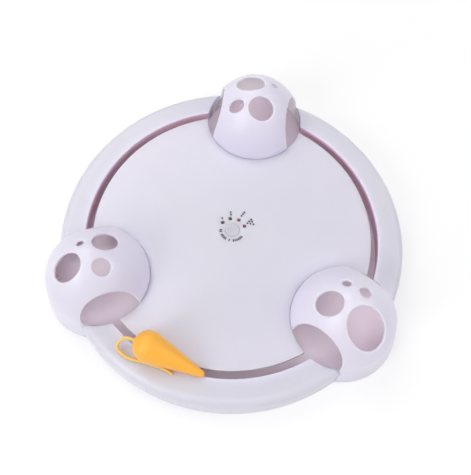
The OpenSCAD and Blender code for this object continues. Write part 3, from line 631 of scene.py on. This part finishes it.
def make_rim(middle):
    """The rim's outer face, its hollow, and the feet and flat ends that join the two."""
    face = rim_columns(rim_face, middle, seam, True)
    hollow = rim_columns(rim_hollow, middle, seam + wall, False)
    points = [p for line in face + hollow for p in line]
    count, last, last_in = len(face[0]), len(face) - 1, len(hollow) - 1

    def out_at(row, column):
        return row * count + column

    def in_at(row, column):
        return (len(face) + row) * count + column

    steps = range(count - 1)
    rows = [[[out_at(j, c), out_at(j, c + 1), out_at(j + 1, c + 1), out_at(j + 1, c)] for c in steps]
            for j in range(last)]
    outside = [quad for row in rows[:slot_row] for quad in row]
    in_slot = [quad for row in rows[slot_row:] for quad in row]
    inside = [[in_at(j, c), in_at(j + 1, c), in_at(j + 1, c + 1), in_at(j, c + 1)]
              for j in range(last_in) for c in steps]
    outside += [[out_at(0, c), in_at(0, c), in_at(0, c + 1), out_at(0, c + 1)] for c in steps]
    outside += [[in_at(last_in, c), out_at(last, c), out_at(last, c + 1), in_at(last_in, c + 1)]
                for c in steps]
    for end, way in ((0, 1), (count - 1, -1)):
        outside.append([out_at(j, end) for j in range(last + 1)][::way])
        outside.append([in_at(j, end) for j in range(last_in + 1)][::-way])
        outside.append([out_at(0, end), out_at(last, end), in_at(last_in, end), in_at(0, end)][::way])
    # The hollow's faces take the painted light, and the slot's faces take the slot's painted tone.
    return [(points, outside, 0), (points, inside, 1), (points, in_slot, 2)]


for rim_name, rim_turn in (("rim_right", 30), ("rim_left", 150), ("rim_front", 270)):
    # The front rim's slot wall gets the pale painted light, the others the rosy painted shade.
    slot_painted_tone = pale_painted_light if rim_name == "rim_front" else rosy_painted_shade
    make_piece(rim_name + "_shell", make_rim(math.radians(rim_turn)),
               [shell_white, inner_painted_light, slot_painted_tone], "base", [rim_name])

# %% [markdown]
# ## The deck
# The deck is a flat round plate with three bites for the domes, a hole for the button and four for the lamps.
# It is the same kind of thin wall as a dome, only flat, so the same helper makes it. Lips hang from its edge
# and stiffen it, and low ledges under the bites carry the domes.

# %% The deck's edges
deck_r, bite_r = slot_r - slot_w, dome_r + seam
bite_turn = math.acos((deck_r ** 2 + dome_from_centre ** 2 - bite_r ** 2) / (2 * dome_from_centre * deck_r))
bite_open = math.pi - math.asin(deck_r * math.sin(bite_turn) / bite_r)
button_at, button_hole_r, lamp_hole_r, lamp_from_button = (0, 2.7), 7.5, 1.9, 13
lamp_turns = (150, 110, 70, 30)


def by_button(r, a):
    """A place on the deck from its distance and direction seen from the button."""
    return round_from(button_at, r, math.radians(a))


lamp_spots = [by_button(lamp_from_button, a) for a in lamp_turns]
dome_spots = {name: round_from((0, 0), dome_from_centre, math.radians(a)) for name, a in dome_turns.items()}
third_turn, full_turn = 2 * math.pi / 3, 2 * math.pi
bite_step, rim_step = 0.035, 0.013


def circle_edge(centre, r, count):
    """A round hole's edge, run clockwise so that the wall is on its left."""
    return [round_from(centre, r, -full_turn * k / count) for k in range(count)]


def deck_edge():
    """The plate's outline, round its circle and into each bite."""
    edge = []
    for name in ("dome_right", "dome_back", "dome_left"):
        a = math.radians(dome_turns[name])
        for t in steps_between(-bite_open, bite_open - full_turn, bite_step):
            edge.append(round_from(dome_spots[name], bite_r, a + t))
        for t in steps_between(a + bite_turn, a + third_turn - bite_turn, rim_step):
            edge.append(round_from((0, 0), deck_r, t))
    return edge


print("places round the deck's edge:", len(deck_edge()))

# %% The deck
def on_deck(spot):
    """Point and outward direction of a flat place on the deck."""
    return Vector((*spot, deck_z)), Vector((0, 0, 1))


def off_deck(p):
    """The flat place under a point."""
    return p.x, p.y


def in_plate(p):
    """Whether a point is on the plate and clear of its holes."""
    if math.hypot(p.x, p.y) > deck_r or math.hypot(p.x - button_at[0], p.y - button_at[1]) < button_hole_r:
        return False
    return (all(math.hypot(p.x - x, p.y - y) > bite_r for x, y in dome_spots.values())
            and all(math.hypot(p.x - x, p.y - y) > lamp_hole_r for x, y in lamp_spots))


def hanging_bar(centre, r0, r1, z0, z1, start, end, size=0.03):
    """A bar of square section bent round a centre."""
    turns = steps_between(start, end, size) + [end]
    points = [(*round_from(centre, r, a), z)
              for a in turns for r, z in ((r0, z0), (r1, z0), (r1, z1), (r0, z1))]
    faces = [[4 * i + k, 4 * i + (k + 1) % 4, 4 * i + 4 + (k + 1) % 4, 4 * i + 4 + k]
             for i in range(len(turns) - 1) for k in range(4)]
    last = 4 * (len(turns) - 1)
    return points, [f[::-1] for f in faces] + [[0, 1, 2, 3], [last + 3, last + 2, last + 1, last]]


deck_spacing, row_spacing = 7, 6.1
columns, rows = math.ceil(deck_r / deck_spacing), math.ceil(deck_r / row_spacing)
deck_places = [((x + 0.5 * (y % 2)) * deck_spacing, y * row_spacing)
               for x in range(-columns, columns + 1) for y in range(-rows, rows + 1)]
deck_edges = [deck_edge(), circle_edge(button_at, button_hole_r, 72)]
deck_edges += [circle_edge(spot, lamp_hole_r, 32) for spot in lamp_spots]
points, outside, inside, sides = thin_wall(deck_edges, deck_places, on_deck, off_deck, tuple, in_plate, wall,
                                           cut_edge_r, 0, deck_spacing)
# The underside takes the painted light, and the lips round the edge take the pale painted light.
deck_solids = [(points, outside + sides, 0), (points, inside, 1)]
lip_top, lip_end = deck_low + 0.1, 0.002
ledge_r, ledge_top, ledge_turn = dome_r - wall - 0.8, deck_low - 0.02, math.acos(-0.72)
for dome_name, dome_turn in dome_turns.items():
    a, centre = math.radians(dome_turn), dome_spots[dome_name]
    rim_lip = hanging_bar((0, 0), deck_r - wall, deck_r, lip_z, lip_top,
                          a + bite_turn + lip_end, a + third_turn - bite_turn - lip_end)
    bite_lip = hanging_bar(centre, bite_r, bite_r + wall, lip_z, lip_top,
                           a + bite_open, a + full_turn - bite_open)
    ledge = hanging_bar(centre, ledge_r, bite_r + 0.1, lip_z, ledge_top,
                        a + ledge_turn, a + full_turn - ledge_turn)
    deck_solids += [(*rim_lip, 2), (*bite_lip, 0), (*ledge, 0)]
make_piece("deck_plate", deck_solids, [shell_white, inner_painted_light, pale_painted_light], "base",
           ["centre_deck"])

# %% [markdown]
# ## Button and lamps
# The button is a round cap with a soft edge and a barely hollow top for a fingertip. The lamps are small
# clear lenses, two of them dark and two red. All are turned shapes, so an outline and the turning helper are
# enough.

# %% The button
button_cap = [(0, 28.4), (5.6, 28.4), (5.6, 26.7), (8.6, 26.7), (8.6, 27.4), (7.3, 27.4), (7.3, 28.5)]
button_cap += bend(6.7, 29.7, 0.6, 0, 90, 5) + [(5.6, 30.27), (4, 30.18), (2, 30.1), (0, 30.08)]
button_white = moulded("button_white", colour(212, 207, 226), colour(209, 204, 223), (0.3, 0.4),
                       grain_size=0.4, grain_depth=0.01, **lets_light_through)
make_piece("button_cap", [(*turned(button_cap, 72, button_at), 0)], [button_white], "button",
           ["power_button"])

# %% The lamps
lens_r = 1.75
lens = [(0, 25.62), (2.15, 25.62), (2.15, 26.4), (lens_r, 26.4)]
lens += bend(0, 28.65, lens_r, 0, 86, 9) + [(0, 30.4)]
lens_coat = {"Coat_Weight": 0.6, "Coat_Roughness": 0.05}
lens_dark = moulded("lens_dark", colour(54, 40, 58), colour(42, 32, 48), (0.08, 0.14), **lens_coat)
lens_red = moulded("lens_red", colour(128, 34, 66), colour(108, 26, 54), (0.08, 0.14), **lens_coat)
lens_kinds = [(lens_dark, "dark_lamp")] * 2 + [(lens_red, "red_lamp")] * 2
for number, (spot, (lens_finish, lens_slot)) in enumerate(zip(lamp_spots, lens_kinds), 1):
    make_piece(f"lamp_lens_{number}", [(*turned(lens, 32, spot), 0)], [lens_finish], "base",
               [f"lamp_{number}"])

# %% [markdown]
# ## Printed marks
# Small dots beside the lamps count the settings, and a row of fine marks curves below the button. Ink could
# be painted in the plastic's material, but a thin raised film is how printing really lies, and it stays
# sharp.

# %% Dots and fine marks
# A dot is its distance from the button and its direction in degrees.
dots = [(16.8, 138.7), (17.4, 105.4), (20.2, 105.7), (18.2, 70), (20.9, 69.2), (23.3, 68.9), (17.1, 36),
        (19.6, 39.4), (22.4, 41.8), (19.5, 30.7), (22.1, 35), (22.2, 26.7)]
tick_turns = (190, 199, 217, 226, 235, 244, 264, 284, 293, 302, 311, 320, 329)
tick_from, tick_to, tick_half, tick_step = 10.6, 13.2, 0.055, 0.02
ink_z, ink_low, dot_r, dot_top_r = deck_z + 0.05, deck_z - 0.02, 1, 0.95
film = [(0, ink_low), (dot_r, ink_low), (dot_top_r, ink_z), (0, ink_z)]
ink_solids = [(*turned(film, 24, by_button(r, a)), 0) for r, a in dots]
for tick_turn in tick_turns:
    a = math.radians(tick_turn)
    tick = hanging_bar(button_at, tick_from, tick_to, ink_low, ink_z, a - tick_half, a + tick_half, tick_step)
    ink_solids.append((*tick, 1))
ink_black = moulded("ink_black", colour(44, 32, 50), colour(36, 26, 42), (0.5, 0.6), grain_size=0.2)
ink_grey = moulded("ink_grey", colour(92, 80, 98), colour(82, 70, 88), (0.4, 0.55), grain_size=0.2)
make_piece("printed_marks", ink_solids, [ink_black, ink_grey], "base")

# %% [markdown]
# ## The mouse
# The mouse is a soft teardrop: a round rump and a small blunt nose joined by a cone that touches both. It
# could be sculpted, but the outline is exact, so it is turned about its own axis, tipped nose down and set on
# its post. A small collar holds the tail's root. The finish is a soft satin yellow that lets a little light
# in.

# %% The mouse's body
rump_r, nose_r, mouse_length, mouse_turn = 14.9, 3.1, 53.9, math.radians(-14.8)
post_r, post_at, rump_z, collar_drop = 143.6, math.radians(-111.6), 45.7, 2.5
rump_at = Vector((*round_from((0, 0), post_r, post_at), rump_z))
tip_down = math.asin((rump_r - nose_r) / mouse_length)
touch = 90 - math.degrees(tip_down)
rump = bend(0, 0, rump_r, 180, touch, 40)
nose = bend(mouse_length, 0, nose_r, touch, 0, 14)
(x0, r0), (x1, r1) = rump[-1], nose[0]
cone_steps = 16
cone = [(x0 + (x1 - x0) * k / cone_steps, r0 + (r1 - r0) * k / cone_steps) for k in range(1, cone_steps)]
mouse_points, mouse_faces = turned([(max(0, r), x) for x, r in rump + cone + nose], 96)
collar = [(0, 12), (3.4, 12), (2.9, 14), (2.3, 14.9), (2.05, 15.7), (1.95, 16.3), (1.75, 16.4), (0, 16.4)]
collar_points, collar_faces = turned(collar, 32)
lie_along = Matrix(((0, 0, 1), (0, 1, 0), (-1, 0, 0)))
yaw = Matrix.Rotation(mouse_turn, 3, "Z")
nose_down = yaw @ Matrix.Rotation(tip_down, 3, "Y") @ lie_along
backward = yaw @ Matrix.Rotation(math.pi, 3, "Z") @ lie_along
body_points = [nose_down @ Vector(p) + rump_at for p in mouse_points]
root_points = [backward @ Vector(p) + rump_at - Vector((0, 0, collar_drop)) for p in collar_points]
mouse_yellow = moulded("mouse_yellow", colour(251, 183, 62), colour(249, 176, 52), (0.42, 0.52),
                       grain_size=0.5, grain_depth=0.02, Subsurface_Weight=0.12, Subsurface_Scale=0.004,
                       Sheen_Weight=0.15)
make_piece("mouse_skin", [(body_points, mouse_faces, 0), (root_points, collar_faces, 0)], [mouse_yellow],
           "rotor", ["mouse_body"])

# %% [markdown]
# ## What the shells hide
# The tray, the drive, the cells and the screws keep their measured solids. Each still gets a finish that
# suits what it is made of, because they show through the arches, in the slot and from below. The tray's
# pale rosy tone is painted light that stands in for the warm bounce inside the shells.

# %% Finishes for the measured solids
finishes = {
    # The tray is painted a pale rosy tone that stands in for the warm light bouncing inside the shells and
    # the slot.
    "dusky_tray": moulded("tray_painted_light", colour(249, 238, 247), colour(247, 235, 245), (0.45, 0.6),
                          grain_depth=0.02),
    "white_shell": shell_white, "button": button_white, "dark_lamp": lens_dark, "red_lamp": lens_red,
    "mouse_yellow": mouse_yellow, "tail_string": tail_curve.materials[0],
    "cell_wrap": moulded("cell_wrap", colour(58, 112, 86), colour(50, 102, 78), (0.25, 0.35), Metallic=0.3),
    "brass": moulded("brass_strip", colour(214, 178, 104), colour(202, 164, 92), (0.22, 0.36), Metallic=1.0),
    "black_rubber": moulded("black_rubber", colour(46, 44, 48), colour(38, 36, 40), (0.7, 0.85),
                            grain_depth=0.05),
    "board_green": moulded("board_green", colour(40, 104, 68), colour(34, 94, 60), (0.3, 0.4)),
    "black_plastic": moulded("black_plastic", colour(40, 40, 44), colour(34, 34, 38), (0.4, 0.5)),
    "nylon": moulded("nylon_cream", colour(232, 226, 210), colour(226, 219, 202), (0.4, 0.5),
                     Subsurface_Weight=0.05, Subsurface_Scale=0.002),
    "red_lead": moulded("red_lead", colour(176, 36, 40), colour(160, 30, 34), (0.4, 0.5)),
    "black_lead": moulded("black_lead", colour(36, 34, 38), colour(30, 28, 32), (0.4, 0.5)),
    "steel": moulded("steel", colour(190, 190, 194), colour(176, 176, 182), (0.25, 0.4), Metallic=1.0)}
for part in frame["record"]["subparts"]:
    solid = frame["nodes"][part["node"]]
    if not solid.material_slots:
        solid.data.materials.append(None)
    for place in solid.material_slots:
        place.material = finishes[part["material_slot"]]

# %% [markdown]
# ## Floor, lamps and background
# A catalogue picture uses a white sweep and large soft lamps. The background here is white only for the
# camera and for reflections. The object itself is lit at a plain level by a wide lamp from the front left,
# three weaker ones from the right, the top and the back, and an even sky. The floor is mostly self white, and
# wholly so away from the toy, so a faint shadow stays near it and the rest is plain white.

# %% Floor
far = 6
floor_mesh = bpy.data.meshes.new("studio_floor")
floor_mesh.from_pydata([(-far, -far, 0), (far, -far, 0), (far, far, 0), (-far, far, 0)], [], [[0, 1, 2, 3]])
floor = bpy.data.objects.new("studio_floor", floor_mesh)
bpy.context.scene.collection.objects.link(floor)


def seen_directly(tree):
    """1 for rays that come straight from the camera, a reflection or a clear piece, else 0."""
    path = tree.nodes.new("ShaderNodeLightPath")
    total = path.outputs["Is Camera Ray"]
    for other in ("Is Glossy Ray", "Is Transmission Ray"):
        either = tree.nodes.new("ShaderNodeMath")
        either.operation = "MAXIMUM"
        tree.links.new(total, either.inputs[0])
        tree.links.new(path.outputs[other], either.inputs[1])
        total = either.outputs[0]
    return total


shadow_until, white_from, least_glow = 0.2, 0.5, 0.5
paper = bpy.data.materials.new("studio_paper")
paper.use_nodes = True
tree = paper.node_tree
matt, glow = tree.nodes["Principled BSDF"], tree.nodes.new("ShaderNodeEmission")
matt.inputs["Base Color"].default_value = (0.97, 0.97, 0.97, 1)
matt.inputs["Roughness"].default_value = 1
spot, distance = tree.nodes.new("ShaderNodeTexCoord"), tree.nodes.new("ShaderNodeVectorMath")
distance.operation = "LENGTH"
tree.links.new(spot.outputs["Object"], distance.inputs[0])
fade = tree.nodes.new("ShaderNodeMapRange")
fade.interpolation_type = "SMOOTHSTEP"
fade_range = {"From Min": shadow_until, "From Max": white_from, "To Min": least_glow, "To Max": 1}
for socket, value in fade_range.items():
    fade.inputs[socket].default_value = value
tree.links.new(distance.outputs["Value"], fade.inputs["Value"])
share, both = tree.nodes.new("ShaderNodeMath"), tree.nodes.new("ShaderNodeMixShader")
share.operation = "MULTIPLY"
tree.links.new(seen_directly(tree), share.inputs[0])
tree.links.new(fade.outputs["Result"], share.inputs[1])
tree.links.new(share.outputs[0], both.inputs["Fac"])
tree.links.new(matt.outputs[0], both.inputs[1])
tree.links.new(glow.outputs[0], both.inputs[2])
tree.links.new(both.outputs[0], tree.nodes["Material Output"].inputs["Surface"])
floor_mesh.materials.append(paper)
print("floor ready")

# %% Lamps and sky
lamp_aim = Vector((0, 0, 0.03))
sky_strength = 0.34


def soft_lamp(name, place, size, watts):
    """A round lamp that looks at the middle of the toy. Its place and size are in metres."""
    lamp = bpy.data.objects.new(name, bpy.data.lights.new(name, "AREA"))
    lamp.data.shape, lamp.data.size, lamp.data.energy = "DISK", size, watts
    lamp.location = place
    lamp.rotation_euler = (lamp_aim - Vector(place)).to_track_quat("-Z", "Y").to_euler()
    bpy.context.scene.collection.objects.link(lamp)


soft_lamp("key_lamp", (-1.5, -1.8, 1.5), 1.6, 29)
soft_lamp("right_lamp", (1.3, 0.1, 1.2), 1.2, 7.2)
soft_lamp("top_lamp", (0.1, -0.6, 1.5), 1.0, 4.8)
soft_lamp("back_lamp", (-0.6, 0.6, 1.2), 1.0, 7)
sky = bpy.data.worlds.new("studio_sky")
bpy.context.scene.world = sky
sky.use_nodes = True
tree = sky.node_tree
dim, bright = tree.nodes["Background"], tree.nodes.new("ShaderNodeBackground")
dim.inputs["Color"].default_value, dim.inputs["Strength"].default_value = (1, 1, 1, 1), sky_strength
bright.inputs["Color"].default_value, bright.inputs["Strength"].default_value = (1, 1, 1, 1), 1
choice = tree.nodes.new("ShaderNodeMixShader")
tree.links.new(seen_directly(tree), choice.inputs["Fac"])
tree.links.new(dim.outputs[0], choice.inputs[1])
tree.links.new(bright.outputs[0], choice.inputs[2])
tree.links.new(choice.outputs[0], tree.nodes["World Output"].inputs["Surface"])
bpy.context.scene.view_settings.view_transform = "Standard"
print("scene lit")
